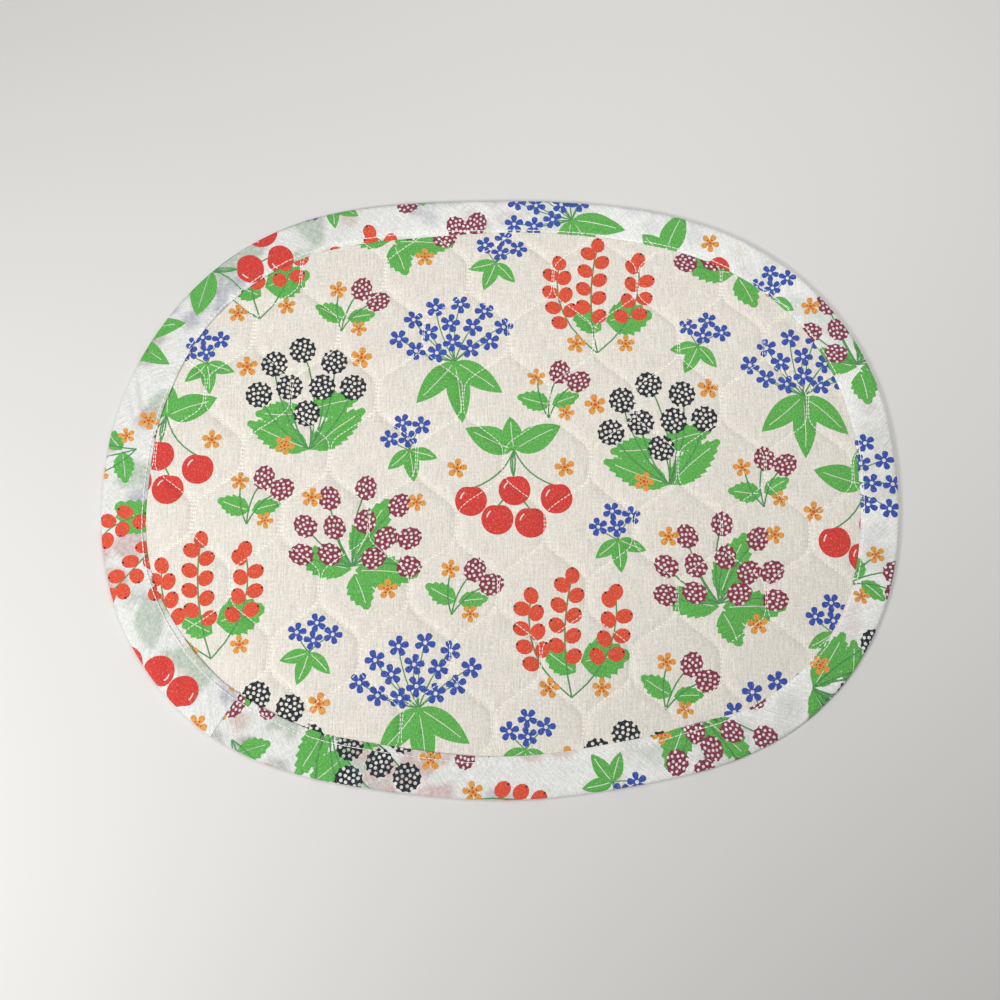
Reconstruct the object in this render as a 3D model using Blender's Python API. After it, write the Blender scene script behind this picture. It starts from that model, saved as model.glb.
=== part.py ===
"""Oval quilted placemat, lying flat with its printed face up.

It is two pieces: the quilted panel, whose face cloth, wadding and back cloth are stitched into one pad,
and the bias binding that wraps the pad's edge. Metres, +Z up, +X along the oval. The origin is the
middle of the underside.
"""

import math

import bmesh
import bpy

MM = 0.001

# The finished oval, over the binding: a superellipse whose cut edge wavers a little.
HALF_LENGTH = 227.1 * MM
HALF_WIDTH = 176.6 * MM
SQUARENESS = 2.43
EDGE_WAVERS = (
    # waves round the edge, swell, direction of a crest in degrees
    (3, 0.6 * MM, -14),
    (4, 0.5 * MM, 27),
    (5, 0.8 * MM, -21),
    (6, 0.5 * MM, 4),
    (7, 0.5 * MM, 19),
    (8, 0.8 * MM, 0),
)
STATIONS = 144

# The binding: how far its two edges and its line of stitching lie in from the edge of the mat.
BINDING_WIDTHS = (
    # direction in degrees, front fold, stitching
    (0, 22.3 * MM, 20.1 * MM),
    (30, 21.7 * MM, 20.2 * MM),
    (60, 21.9 * MM, 20.3 * MM),
    (85, 21.0 * MM, 19.7 * MM),
    (110, 23.2 * MM, 20.2 * MM),
    (150, 22.9 * MM, 21.5 * MM),
    (165, 25.4 * MM, 23.7 * MM),
    (176, 26.5 * MM, 24.6 * MM),
    (194, 25.0 * MM, 22.8 * MM),
    (208, 27.0 * MM, 23.4 * MM),
    (223, 27.1 * MM, 23.5 * MM),
    (241, 24.3 * MM, 20.4 * MM),
    (268, 23.1 * MM, 19.4 * MM),
    (296, 24.5 * MM, 20.7 * MM),
    (304, 25.5 * MM, 21.8 * MM),
    (316, 22.3 * MM, 20.7 * MM),
    (336, 21.0 * MM, 19.2 * MM),
)
CLOTH = 0.9 * MM
EDGE_HEIGHT = 3.5 * MM
EDGE_ROUND = 2.6 * MM
BACK_SHORTER = 1.5 * MM
STITCH_DIP = 0.4 * MM
BAND_PUFF = 0.25 * MM
# The strip's ends lap here, at the lower left. Angles are in degrees.
LAP_DIRECTION = 221.6
LAP_SPAN = 4.0
LAP_RISE = 0.5 * MM

# The pad: pressed thin inside the binding, lowest along the needle lines, fullest in each cell.
CLEARANCE = 0.3 * MM
PAD_PRESSED = EDGE_HEIGHT - CLOTH - CLEARANCE
PAD_STITCHED = 1.7 * MM
PAD_CROWN = 3.4 * MM
VALLEY = 4.5 * MM
FADE = 11 * MM
# The wadding is thinner in places: by how much, and how fast that drifts along X and Y.
WADDING_VARIES = 0.2 * MM
WADDING_DRIFT = ((31, 17), (-11, 23))

# The quilting: columns of onion-shaped cells between needle lines that sway left and right.
CELL_WIDTH = 50.3 * MM
ROW_PITCH = 38.0 * MM
CELL_SLANT = 17.0 * MM
SHOULDER_SHARPNESS = 2.5
NECK = 1.0 * MM
QUILT_TURN = math.radians(-2.1)
QUILT_LEAN = 0.013
QUILT_CENTRE = (25.1 * MM, -26.8 * MM)
ROWS_PER_PITCH = 6
ACROSS_STRIP = (0.0, 0.13, 0.5, 0.87)
# How far the uncut sheet and the shape that trims it reach past each other.
SPARE = 12 * MM


def clear_scene():
    for obj in list(bpy.data.objects):
        bpy.data.objects.remove(obj, do_unlink=True)


def smooth(share):
    share = min(max(share, 0.0), 1.0)
    return share * share * (3 - 2 * share)


def edge_radius(angle):
    """How far the mat's edge is from its middle, in the direction of an angle."""
    along = abs(math.cos(angle) / HALF_LENGTH) ** SQUARENESS
    across = abs(math.sin(angle) / HALF_WIDTH) ** SQUARENESS
    radius = (along + across) ** (-1 / SQUARENESS)
    for waves, swell, crest in EDGE_WAVERS:
        radius += swell * math.cos(waves * (angle - math.radians(crest)))
    return radius


def edge_point(angle):
    radius = edge_radius(angle)
    return radius * math.cos(angle), radius * math.sin(angle)


def inward(angle):
    """The unit vector across the edge, towards the middle."""
    step = 0.01
    ahead_x, ahead_y = edge_point(angle + step)
    behind_x, behind_y = edge_point(angle - step)
    run_x, run_y = ahead_x - behind_x, ahead_y - behind_y
    length = math.hypot(run_x, run_y)
    return -run_y / length, run_x / length


def inside(angle, distance):
    """The point that lies a distance in from the edge."""
    x, y = edge_point(angle)
    in_x, in_y = inward(angle)
    return x + distance * in_x, y + distance * in_y


def binding_widths(angle):
    """(front fold, stitching) in this direction, eased from one row of the table to the next."""
    degrees = math.degrees(angle) % 360
    rows = [*BINDING_WIDTHS, (360, *BINDING_WIDTHS[0][1:])]
    for start, end in zip(rows, rows[1:]):
        if degrees <= end[0]:
            share = smooth((degrees - start[0]) / (end[0] - start[0]))
            return tuple(a + share * (b - a) for a, b in zip(start[1:], end[1:]))
    return rows[-1][1:]


def lap_rise(angle):
    """The extra height where the strip's folded end lies over its other end."""
    short_of_end = (LAP_DIRECTION - math.degrees(angle)) % 360
    return LAP_RISE * smooth(1 - short_of_end / LAP_SPAN)


def station_angles():
    """Evenly spaced directions, with a close pair of them at the lap's folded end."""
    angles = [math.tau * i / STATIONS for i in range(STATIONS)]
    lap = math.radians(LAP_DIRECTION)
    near = 0.4 * math.tau / STATIONS
    angles = [a for a in angles if abs(a - lap) > near]
    return sorted([*angles, lap - 0.0001, lap + 0.002])


def swept_round(name, profile_at, closed):
    """A mesh of rings round the oval: one for each (distance in, height) of the profile at an angle.

    A closed profile makes a hollow ring. An open one is capped at its first and last ring.
    """
    mesh = bmesh.new()
    profiles = []
    for angle in station_angles():
        points = [(*inside(angle, distance), height) for distance, height in profile_at(angle)]
        profiles.append([mesh.verts.new(point) for point in points])
    count = len(profiles[0])
    for here, after in zip(profiles, profiles[1:] + profiles[:1]):
        for i in range(count if closed else count - 1):
            j = (i + 1) % count
            mesh.faces.new((here[i], here[j], after[j], after[i]))
    if not closed:
        mesh.faces.new([profile[0] for profile in profiles])
        mesh.faces.new([profile[-1] for profile in reversed(profiles)])
    bmesh.ops.recalc_face_normals(mesh, faces=mesh.faces)
    return object_from(mesh, name)


def object_from(mesh, name):
    data = bpy.data.meshes.new(name)
    mesh.to_mesh(data)
    mesh.free()
    obj = bpy.data.objects.new(name, data)
    bpy.context.scene.collection.objects.link(obj)
    return obj


def binding_profile(angle):
    """The wrapped strip's section, from the front fold over the mat's edge to the back and home."""
    fold, stitching = binding_widths(angle)
    top = EDGE_HEIGHT + lap_rise(angle)
    under = EDGE_HEIGHT - CLOTH
    back = fold - BACK_SHORTER
    return (
        (fold, top - 0.6 * CLOTH),
        (fold - 0.3 * CLOTH, top - 0.1 * CLOTH),
        (0.5 * (fold + stitching), top),
        (stitching, top - STITCH_DIP),
        (0.86 * stitching, top),
        (0.5 * stitching, top + BAND_PUFF),
        (EDGE_ROUND, top - 0.1 * CLOTH),
        (0.25 * EDGE_ROUND, top - CLOTH),
        (0.0, 0.5 * EDGE_HEIGHT),
        (0.2 * EDGE_ROUND, 0.7 * CLOTH),
        (0.8 * EDGE_ROUND, 0.0),
        (back, 0.0),
        (back, CLOTH),
        (CLOTH, CLOTH),
        (CLOTH, under),
        (fold, under),
    )


def pad_profile(angle):
    """The oval that the pad is cut to, stepped in where the binding covers it on both faces."""
    fold = binding_widths(angle)[0] + CLEARANCE
    back = fold - BACK_SHORTER
    rim = CLOTH + CLEARANCE
    return (
        (fold, PAD_CROWN + SPARE),
        (fold, PAD_PRESSED),
        (rim, PAD_PRESSED),
        (rim, rim),
        (back, rim),
        (back, -SPARE),
    )


def soft_clip(value):
    """Close to value from -1 to 1, and bent over to those limits with a rounded shoulder."""
    rising = math.log(math.cosh(SHOULDER_SHARPNESS * (value + 1)))
    falling = math.log(math.cosh(SHOULDER_SHARPNESS * (value - 1)))
    return (rising - falling) / (2 * SHOULDER_SHARPNESS)


def sway(y):
    """From 1 to -1 and back over two rows: upright beside each cell, slanting in between."""
    zigzag = 2 / math.pi * math.asin(math.cos(math.pi * y / ROW_PITCH))
    steepness = ROW_PITCH / CELL_SLANT
    return soft_clip(zigzag * steepness) / soft_clip(steepness)


def needle_line(k, y):
    """x of needle line k at height y, in the quilting's own turned axes. Neighbours mirror each other."""
    reach = CELL_WIDTH / 4 - NECK / 2
    return (k + 0.5) * CELL_WIDTH / 2 - (-1) ** k * reach * sway(y)


def to_needle_line(x, y):
    """The distance from a point to the nearest needle line, in the quilting's axes."""
    step = 0.1 * MM
    middle = math.floor(2 * x / CELL_WIDTH)
    nearest = CELL_WIDTH
    for k in range(middle - 2, middle + 3):
        line = needle_line(k, y)
        slope = (needle_line(k, y + step) - line) / step
        nearest = min(nearest, abs(x - line) / math.hypot(1, slope))
    return nearest


def on_mat(x, y):
    """A point of the quilting's axes, in the mat's."""
    cos, sin = math.cos(QUILT_TURN), math.sin(QUILT_TURN)
    x += QUILT_LEAN * y
    return QUILT_CENTRE[0] + x * cos - y * sin, QUILT_CENTRE[1] + x * sin + y * cos


def in_from_fold(x, y):
    """How far a point of the mat lies in from the binding's front fold, and under 0 beneath it."""
    angle = math.atan2(y, x)
    in_x, in_y = inward(angle)
    square_on = -(in_x * math.cos(angle) + in_y * math.sin(angle))
    from_edge = (edge_radius(angle) - math.hypot(x, y)) * square_on
    return from_edge - binding_widths(angle)[0]


def crown_height(x, y):
    """How high a cell stands with full wadding, which is a little thinner in places."""
    first, second = (math.sin(along * x + across * y) for along, across in WADDING_DRIFT)
    return PAD_CROWN - WADDING_VARIES * (1 + first * second)


def pad_height(quilt_x, quilt_y):
    """The height of the pad's face: stitched down on the lines, and pressed level at the binding."""
    x, y = on_mat(quilt_x, quilt_y)
    fullness = 1 - math.exp(-to_needle_line(quilt_x, quilt_y) / VALLEY)
    quilted = PAD_STITCHED + (crown_height(x, y) - PAD_STITCHED) * fullness
    return PAD_PRESSED + (quilted - PAD_PRESSED) * smooth(in_from_fold(x, y) / FADE)


def quilted_sheet(name):
    """A sheet larger than the oval, meshed along the needle lines, with a flat underside."""
    half_strips = math.ceil((HALF_LENGTH + abs(QUILT_CENTRE[0]) + SPARE) / (CELL_WIDTH / 2)) + 1
    row = ROW_PITCH / ROWS_PER_PITCH
    half_rows = math.ceil((HALF_WIDTH + abs(QUILT_CENTRE[1]) + SPARE) / row)
    mesh = bmesh.new()
    columns = []
    for k in range(-half_strips, half_strips):
        for share in ACROSS_STRIP:
            column = []
            for step in range(-half_rows, half_rows + 1):
                y = step * row
                start, end = needle_line(k, y), needle_line(k + 1, y)
                x = start + share * (end - start)
                column.append(mesh.verts.new((*on_mat(x, y), pad_height(x, y))))
            columns.append(column)
    for left, right in zip(columns, columns[1:]):
        for j in range(len(left) - 1):
            mesh.faces.new((left[j], right[j], right[j + 1], left[j + 1]))
    rim = [edge for edge in mesh.edges if edge.is_boundary]
    skirt = bmesh.ops.extrude_edge_only(mesh, edges=rim)["geom"]
    lower = [item for item in skirt if isinstance(item, bmesh.types.BMVert)]
    for vert in lower:
        vert.co.z = 0.0
    hem = [edge for edge in mesh.edges if edge.is_boundary]
    bmesh.ops.holes_fill(mesh, edges=hem, sides=0)
    bmesh.ops.recalc_face_normals(mesh, faces=mesh.faces)
    return object_from(mesh, name)


def cloth_material(name, colour):
    material = bpy.data.materials.new(name)
    material.use_nodes = True
    shader = material.node_tree.nodes["Principled BSDF"]
    shader.inputs["Base Color"].default_value = (*colour, 1.0)
    shader.inputs["Roughness"].default_value = 0.92
    shader.inputs["Metallic"].default_value = 0.0
    return material


def make_panel():
    panel = quilted_sheet("quilted_panel")
    blank = swept_round("pad_blank", pad_profile, closed=False)
    blank.hide_render = True
    blank.display_type = "WIRE"
    cut = panel.modifiers.new("cut_to_oval", "BOOLEAN")
    cut.operation = "INTERSECT"
    cut.solver = "EXACT"
    cut.object = blank
    panel.data.materials.append(cloth_material("panel_cloth", (0.72, 0.66, 0.58)))


def make_binding():
    binding = swept_round("edge_binding", binding_profile, closed=True)
    binding.data.shade_smooth()
    binding.data.set_sharp_from_angle(angle=math.radians(40))
    binding.data.materials.append(cloth_material("binding_cloth", (0.83, 0.83, 0.81)))


def main():
    clear_scene()
    make_panel()
    make_binding()


main()
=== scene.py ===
"""The looks of an oval quilted placemat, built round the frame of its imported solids.

Each cloth is first drawn flat: its print is cut into its mesh as patches of ink, and then every point is
lifted to where that cloth lies on the mat. The print is a plain garden pattern of cherries, flower heads
and hips, drawn by the functions below. Sizes are in millimetres, and the meshes are in metres.
"""

import math
from functools import reduce

import bpy
import numpy as np
from mathutils import Matrix, Vector
from mathutils.geometry import delaunay_2d_cdt


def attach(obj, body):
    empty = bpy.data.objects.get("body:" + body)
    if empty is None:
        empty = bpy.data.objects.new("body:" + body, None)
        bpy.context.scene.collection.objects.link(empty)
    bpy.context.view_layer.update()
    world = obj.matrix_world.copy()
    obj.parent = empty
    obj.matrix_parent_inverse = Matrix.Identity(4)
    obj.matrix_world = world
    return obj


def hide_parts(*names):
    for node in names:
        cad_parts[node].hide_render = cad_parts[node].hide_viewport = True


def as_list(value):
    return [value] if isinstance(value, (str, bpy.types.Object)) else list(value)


MM = 0.001

# The solids' own sizes, which their source explains.
HALF_LENGTH, HALF_WIDTH, SQUARENESS = 227.1, 176.6, 2.43
# Waves round the edge, swell, direction of a crest in degrees.
EDGE_WAVERS = ((3, 0.6, -14), (4, 0.5, 27), (5, 0.8, -21), (6, 0.5, 4), (7, 0.5, 19), (8, 0.8, 0))
BINDING_WIDTHS = (
    # direction in degrees, front fold, stitching
    (0, 22.3, 20.1),
    (30, 21.7, 20.2),
    (60, 21.9, 20.3),
    (85, 21.0, 19.7),
    (110, 23.2, 20.2),
    (150, 22.9, 21.5),
    (165, 25.4, 23.7),
    (176, 26.5, 24.6),
    (194, 25.0, 22.8),
    (208, 27.0, 23.4),
    (223, 27.1, 23.5),
    (241, 24.3, 20.4),
    (268, 23.1, 19.4),
    (296, 24.5, 20.7),
    (304, 25.5, 21.8),
    (316, 22.3, 20.7),
    (336, 21.0, 19.2),
)
CLOTH, EDGE_HEIGHT, EDGE_ROUND, BACK_SHORTER = 0.9, 3.5, 2.6, 1.5
STITCH_DIP, BACK_DIP, DIP_REACH, BAND_PUFF = 0.4, 0.45, 1.1, 0.25
LAP_DIRECTION, LAP_SPAN, LAP_RISE = 221.6, 4.0, 0.5
CLEARANCE = 0.3
PAD_PRESSED, PAD_STITCHED, PAD_CROWN = EDGE_HEIGHT - CLOTH - CLEARANCE, 1.7, 3.4
FADE = 11.0
WADDING_VARIES, WADDING_DRIFT = 0.2, ((0.031, 0.017), (-0.011, 0.023))
CELL_WIDTH, ROW_PITCH, CELL_SLANT = 50.3, 38.0, 17.0
SHOULDER_SHARPNESS, NECK = 2.5, 1.0
QUILT_TURN, QUILT_LEAN, QUILT_CENTRE = math.radians(-2.1), 0.013, (25.1, -26.8)

# How the face is meshed: rows across the strips, closest together beside the needle lines.
MAT_REACH = (240, 190)
NEEDLE_LINES = range(-12, 13)
ROW_STEP = ROW_PITCH / 18
FROM_LINE = (0.5, 1.2, 2.0, 3.0, 4.8, 7.8, 11.2, 14.8, 18.2, 21.6)
BACK_FROM_LINE = (1.2, 3.5, 9.0, 17.0)
RIM_STEP = 8.0
RIM_IN = CLOTH + CLEARANCE
RIM_POINTS = 300

# The thread pulls the cloth in a little further than the wadding. From there the cells rise steeply at first
# and gently further on, with small puckers along the line.
PINCH = 0.3
STEEP_SHARE, STEEP_REACH, STEEP_POWER, GENTLE_REACH = 0.84, 2.15, 1.4, 9.0
PUCKER, PUCKER_PITCH, PUCKER_REACH = 0.08, 6.5, 3.0
BACK_PULL, BACK_PULL_REACH = 0.5, 2.2
BACK_AT_BINDING = 0.9
PANEL_CREASES = (
    # x and y of one end, x and y of the other, breadth, height
    (-58, -129, 0, -128, 1.7, 0.34),
    (-56, 122, 35, 120, 1.8, 0.24),
    (-130, 52, -110, 90, 2.4, 0.2),
    (80, -80, 112, -104, 2.2, 0.2),
)

# The binding strip, drawn flat: s runs from its folded end clockwise round the mat, and out is 0 at the
# mat's edge, below 0 on the front and over 0 on the back.
EDGE_ARC = 3.45
NOSE = 0.2
LAP_NOSE = 0.2
TUCK = 6.0
LAP_UNDER = 10.0
UNDER_LAP_SINKS, UNDER_LAP_SHORTER = 0.5, 0.6
LIP_SINKS, LIP_BEND = 0.85, 1.2
# Direction in degrees, and the share of its height that the front fold keeps there.
LIP_STANDS = (
    *((0, 0.5), (30, 0.2), (75, 0.5), (110, 0.1), (150, 0.9), (166, 0.9), (178, 0.0), (205, 0.1)),
    *((213, 1.0), (218, 0.2), (227, 0.9), (240, 0.3), (262, 0.6), (285, 0.1), (320, 0.5)),
)
STATION_STEP = 1.7
BAND_STEP, BACK_STEP = 1.3, 5.0
BAND_PUCKER, BAND_PUCKER_PITCH, BAND_PUCKER_REACH = 0.09, 7.5, 3.5
BIAS_RIPPLE, BIAS_RIPPLE_PITCH = 0.07, 11.0
BAND_CREASES = (
    # direction and distance in of one end, of the other, breadth, height
    (65.5, 3, 71.5, 18, 1.3, -0.76),
    (69.0, 3, 75.0, 17, 1.5, 0.38),
    (81.5, 7, 85.5, 15, 1.1, -0.62),
    (112, 5, 117, 14, 1.5, 0.36),
    (137, 6, 142, 17, 1.6, -0.38),
    (160.5, 2, 167, 14, 1.5, -0.69),
    (162.5, 1, 168.5, 14, 1.3, 0.75),
    (163.5, 6, 168.5, 19, 1.4, -0.61),
    (167, 7, 171.5, 17, 1.5, -0.52),
    (184, 5, 187, 18, 1.9, -0.39),
    (211.5, 6, 207, 19, 1.5, -0.73),
    (213.5, 6, 209, 20, 1.6, 0.70),
    (227.5, 6, 231.5, 18, 1.5, -0.52),
    (236.5, 11, 240.5, 21, 1.5, -0.56),
    (234, 9, 238, 19, 1.6, 0.55),
    (260, 4, 264, 15, 1.5, -0.34),
    (297, 6, 303, 17, 1.7, 0.43),
    (318, 6, 321, 12, 1.8, -0.43),
    (343, 5, 348, 16, 1.5, -0.36),
    (17, 4, 23, 14, 1.7, -0.31),
    (165.5, 1, 170, 12, 1.5, 0.7),
    (173, 4, 178, 17, 1.5, 0.6),
    (192, 3, 189, 19, 1.6, 0.55),
    (199, 4, 203, 17, 1.5, 0.55),
    (221, 3, 217, 18, 1.5, 0.6),
    (232, 3, 236, 17, 1.5, 0.55),
)

# Where the print lies on each cloth: x, y and turn in degrees. The strip is cut across its threads.
PANEL_PRINT = (6.0, -4.0, 0.0)
STRIP_PRINT = (40.0, 12.0, 45.0)
# How strongly the print of the layer beneath shows through the band: anywhere, and most in one direction,
# where it greys the whole band. That print is the same, shifted and mirrored, and blurred in some rounds.
SHOW_THROUGH, SHOW_THROUGH_MOST, MOST_DIRECTION = 0.2, 0.5, 190
SHOW_THROUGH_GREY, SHOW_THROUGH_BLUR = 0.25, 2
BENEATH_SHIFT = (64, 9)

# Sewing thread: the length of a stitch and of the gap after it, and at shares of that length how far it
# stands off the cloth and how full it is. Beside a row of stitches the cloth swells at each stitch, dips
# along the row, tucks unevenly, is darker at the needle's holes, and has a painted highlight: it is painted
# a little lighter, as if its crimps caught the light.
THREAD = 0.56
QUILT_STITCH, QUILT_GAP = 2.0, 0.35
BINDING_STITCH, BINDING_GAP = 2.9, 0.2
STITCH_SHARES = (0, 0.14, 0.5, 0.86, 1)
STITCH_PROFILE = (-0.14, 0.12, 0.2, 0.12, -0.14)
STITCH_FULLNESS = (0.5, 1, 1.1, 1, 0.5)
THREAD_SIDES = 4
POINTS_PER_STITCH = len(STITCH_SHARES) * THREAD_SIDES
STITCH_SWELL, STITCH_SWELL_REACH = 0.12, 1.0
TUCKS, TUCKS_REACH = 0.55, 2.2
GROOVE, GROOVE_REACH = 0.1, 0.5
HOLE_SHADE, HOLE_REACH = 0.15, 0.5
# Painted highlight: how much lighter the cloth is painted beside a row of stitches, and how far that
# reaches.
SEAM_HIGHLIGHT, SEAM_HIGHLIGHT_REACH = 0.12, 0.9

# The cotton: its thread pitch, the height of its weave, and how far tones swing.
THREAD_PITCH, WEAVE_HEIGHT = 0.5, 0.1
WARP_TONE, WEFT_TONE, GRAIN_TONE = 0.58, 0.26, 0.12
WARP_SLUB_TONE, WEFT_SLUB_TONE = 0.55, 0.24
INK_MOTTLE, INK_MISSES = 1.6, 1.5
# How many of each lie in a metre, along the weft and along the warp, and how detailed they are.
WARP, WEFT, SLUBS, CROSS_SLUBS, SPECKLE = (1600, 500), (420, 1500), (1300, 90), (80, 1200), (1300, 1300, 3.0)
CLOUDS, BENEATH_CLOUDS, TUCK_RUNS, FIBRES = (17, 17), (420, 420, 3.0), (110, 260), (2400, 2400, 3.0)

CAMERA_TARGET = (-0.4, -10.8, 2.5)
CAMERA_TILT, CAMERA_TURN, CAMERA_DISTANCE = 13.4, 0.56, 696.0
LENS = 43.8
LIGHTS = (
    # name, position, target, size, power
    ("key", (-0.52, -0.36, 0.6), (-0.38, 0.2, 0.0), 0.3, 4.62),
    ("fill", (0.2, 0.172, 0.7), (0.26, 0.6, 0.0), 0.5, 2.72),
)
SKY, SKY_COLOUR = 0.285, (1.0, 1.0, 1.0)
# The floor reaches this many metres, and lies this many millimetres below the mat.
FLOOR_REACH, FLOOR_BELOW = 6.0, 0.02


def display(red, green, blue):
    """A colour as seen on screen, from 0 to 255, in the linear values that a shader takes."""
    values = [value / 255 for value in (red, green, blue)]
    return tuple(v / 12.92 if v <= 0.04045 else ((v + 0.055) / 1.055) ** 2.4 for v in values)


INKS = {
    "leaf": display(96, 178, 82),
    "stem": display(84, 148, 88),
    "cherry": display(214, 66, 58),
    "hip": display(222, 84, 58),
    "flower": display(226, 156, 74),
    "blue": display(58, 84, 168),
    "clover": display(138, 54, 78),
    "seed": display(36, 44, 52),
}
PANEL_GROUND = display(233, 227, 216)
BINDING_GROUND = display(240, 240, 236)
BACK_GROUND = display(232, 226, 212)
THREAD_COLOUR = display(253, 252, 245)
FLOOR_COLOUR = display(226, 224, 221)


# ---- The mat's outline and quilting, as its solids have them ----


def smooth(share):
    share = np.clip(share, 0.0, 1.0)
    return share * share * (3 - 2 * share)


def edge_radius(angle):
    along = np.abs(np.cos(angle) / HALF_LENGTH) ** SQUARENESS
    across = np.abs(np.sin(angle) / HALF_WIDTH) ** SQUARENESS
    radius = (along + across) ** (-1 / SQUARENESS)
    for waves, swell, crest in EDGE_WAVERS:
        radius = radius + swell * np.cos(waves * (angle - math.radians(crest)))
    return radius


def edge_point(angle):
    radius = edge_radius(angle)
    return radius * np.cos(angle), radius * np.sin(angle)


def inward(angle):
    """The unit vector across the edge, towards the middle."""
    step = 0.01
    ahead_x, ahead_y = edge_point(angle + step)
    behind_x, behind_y = edge_point(angle - step)
    run_x, run_y = ahead_x - behind_x, ahead_y - behind_y
    length = np.hypot(run_x, run_y)
    return -run_y / length, run_x / length


def inside(angle, distance):
    x, y = edge_point(angle)
    in_x, in_y = inward(angle)
    return x + distance * in_x, y + distance * in_y


def eased(table, angle):
    """A table's values in each direction, eased from one row of it to the next."""
    rows = np.array([*table, (360, *table[0][1:])], float)
    degrees = np.degrees(angle) % 360
    row = np.clip(np.searchsorted(rows[:, 0], degrees, side="right") - 1, 0, len(rows) - 2)
    share = smooth((degrees - rows[row, 0]) / (rows[row + 1, 0] - rows[row, 0]))
    return [rows[row, i] + share * (rows[row + 1, i] - rows[row, i]) for i in range(1, rows.shape[1])]


def binding_widths(angle):
    """[front fold, stitching] in each direction."""
    return eased(BINDING_WIDTHS, angle)


def in_from_edge(x, y):
    angle = np.arctan2(y, x)
    in_x, in_y = inward(angle)
    square_on = -(in_x * np.cos(angle) + in_y * np.sin(angle))
    return (edge_radius(angle) - np.hypot(x, y)) * square_on


def in_from_fold(x, y):
    return in_from_edge(x, y) - binding_widths(np.arctan2(y, x))[0]


def soft_clip(value):
    rising = np.log(np.cosh(SHOULDER_SHARPNESS * (value + 1)))
    falling = np.log(np.cosh(SHOULDER_SHARPNESS * (value - 1)))
    return (rising - falling) / (2 * SHOULDER_SHARPNESS)


def sway(y):
    """From 1 to -1 and back over two rows: upright beside each cell, slanting in between."""
    zigzag = 2 / math.pi * np.arcsin(np.cos(math.pi * y / ROW_PITCH))
    steepness = ROW_PITCH / CELL_SLANT
    return soft_clip(zigzag * steepness) / soft_clip(steepness)


def needle_line(k, y):
    """x of needle line k at height y, in the quilting's own turned axes. Neighbours mirror each other."""
    reach = CELL_WIDTH / 4 - NECK / 2
    return (k + 0.5) * CELL_WIDTH / 2 - (1 - 2 * (k % 2)) * reach * sway(y)


NEEDLE_YS = np.arange(-300, 300, 0.2)
NEEDLE_RUN = np.cumsum(np.hypot(0.2, np.gradient(needle_line(0, NEEDLE_YS))))


def to_needle_line(x, y):
    """The distance from points to the nearest needle line, in the quilting's axes."""
    step = 0.1
    middle = np.floor(2 * x / CELL_WIDTH)
    nearest = np.full(np.shape(x), CELL_WIDTH)
    for k in range(-2, 3):
        line = needle_line(middle + k, y)
        slope = (needle_line(middle + k, y + step) - line) / step
        nearest = np.minimum(nearest, np.abs(x - line) / np.hypot(1, slope))
    return nearest


def on_mat(x, y):
    """Points of the quilting's axes, in the mat's."""
    cos, sin = math.cos(QUILT_TURN), math.sin(QUILT_TURN)
    x = x + QUILT_LEAN * y
    return QUILT_CENTRE[0] + x * cos - y * sin, QUILT_CENTRE[1] + x * sin + y * cos


def on_quilting(x, y):
    """Points of the mat's axes, in the quilting's."""
    cos, sin = math.cos(QUILT_TURN), math.sin(QUILT_TURN)
    x, y = x - QUILT_CENTRE[0], y - QUILT_CENTRE[1]
    along, up = x * cos + y * sin, y * cos - x * sin
    return along - QUILT_LEAN * up, up


# ---- How each cloth lies ----


def creases(x, y, table):
    """The height that soft creases add: ridges, or troughs below 0, that fade out at both ends."""
    total = np.zeros(np.shape(x))
    for start_x, start_y, end_x, end_y, breadth, height in table:
        run_x, run_y = end_x - start_x, end_y - start_y
        length = math.hypot(run_x, run_y)
        along = ((x - start_x) * run_x + (y - start_y) * run_y) / length**2
        across = ((y - start_y) * run_x - (x - start_x) * run_y) / length
        total += height * smooth(0.5 + 2 * np.minimum(along, 1 - along)) * np.exp(-((across / breadth) ** 2))
    return total


def face_height(x, y):
    """The height of the printed face: stitched down on the lines, and pressed level at the binding."""
    quilt_x, quilt_y = on_quilting(x, y)
    distance = to_needle_line(quilt_x, quilt_y)
    first, second = (np.sin(along * x + across * y) for along, across in WADDING_DRIFT)
    crown = PAD_CROWN - WADDING_VARIES * (1 + first * second)
    steep = 1 - np.exp(-((distance / STEEP_REACH) ** STEEP_POWER))
    gentle = 1 - np.exp(-distance / GENTLE_REACH)
    fullness = STEEP_SHARE * steep + (1 - STEEP_SHARE) * gentle
    stitched = PAD_STITCHED - PINCH
    quilted = stitched + (crown - stitched) * fullness
    waves = np.sin(math.tau * quilt_y / PUCKER_PITCH + 0.35 * quilt_x)
    quilted += PUCKER * waves * steep * np.exp(-distance / PUCKER_REACH)
    quilted += creases(x, y, PANEL_CREASES)
    return PAD_PRESSED + (quilted - PAD_PRESSED) * smooth(in_from_fold(x, y) / FADE)


def back_height(x, y):
    """The height of the plain back: on the table, drawn up by the stitching and towards the binding."""
    drawn_up = BACK_PULL * np.exp(-to_needle_line(*on_quilting(x, y)) / BACK_PULL_REACH)
    at_binding = 1 - smooth((in_from_fold(x, y) + BACK_SHORTER) / FADE)
    return drawn_up + (BACK_AT_BINDING + CLEARANCE - drawn_up) * at_binding


def turn_under(past, radius):
    """(how far on, how far down) a cloth is that folds back under itself past a line, with a round nose."""
    bend = np.clip(past / radius, 0, math.pi)
    beyond = np.maximum(past - math.pi * radius, 0)
    on = np.where(past < 0, past, radius * np.sin(bend) - beyond)
    return on, radius * (1 - np.cos(bend))


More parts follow.
